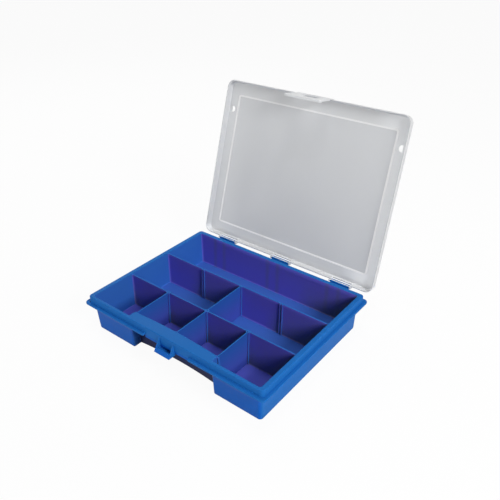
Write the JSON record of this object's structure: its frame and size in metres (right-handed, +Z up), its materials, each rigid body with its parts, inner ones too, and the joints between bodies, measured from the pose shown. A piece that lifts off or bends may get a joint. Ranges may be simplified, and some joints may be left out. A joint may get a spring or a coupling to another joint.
{
  "type": "compartment organizer box",
  "caption": "Shallow blue plastic tray with moulded and lift-out dividers under a hinged, latched, frosted clear lid, shown open; for sorting seed packets and small parts.",
  "frame": {"origin": "the centre of the tray's footprint, on its underside", "axes": "+X to the right seen from the latch, -Y towards the latch, +Y towards the hinge, +Z up"},
  "size_m": [0.312, 0.3391, 0.2931],
  "materials": {
    "blue_plastic": "satin moulded polypropylene",
    "clear_plastic": "frosted natural polypropylene"
  },
  "bodies": {
    "tray": {"tray": "blue_plastic"},
    "lid": {"lid": "clear_plastic"},
    "latch_flap": {"latch_flap": "clear_plastic"},
    "divider_middle": {"divider_middle": "blue_plastic"},
    "divider_front_left": {"divider_front_left": "blue_plastic"},
    "divider_front_centre": {"divider_front_centre": "blue_plastic"},
    "divider_front_right": {"divider_front_right": "blue_plastic"}
  },
  "joints": [
    {"name": "lid_hinge", "type": "hinge", "parent": "tray", "child": "lid", "pos_m": [0, 0.13, 0.0467], "axis": [1, 0, 0], "range_deg": [0, 106.8]},
    {"name": "flap_hinge", "type": "hinge", "parent": "lid", "child": "latch_flap", "pos_m": [0, 0.21226, 0.28489], "axis": [-1, 0, 0], "range_deg": [0, 67], "stiffness_Nm_per_rad": 0.02},
    {"name": "divider_middle_lift", "type": "slide", "parent": "tray", "child": "divider_middle", "axis": [0, 0, -1], "range_m": [-0.055, 0]},
    {"name": "divider_front_left_lift", "type": "slide", "parent": "tray", "child": "divider_front_left", "axis": [0, 0, -1], "range_m": [-0.055, 0]},
    {"name": "divider_front_centre_lift", "type": "slide", "parent": "tray", "child": "divider_front_centre", "axis": [0, 0, -1], "range_m": [-0.055, 0]},
    {"name": "divider_front_right_lift", "type": "slide", "parent": "tray", "child": "divider_front_right", "axis": [0, 0, -1], "range_m": [-0.055, 0]}
  ]
}
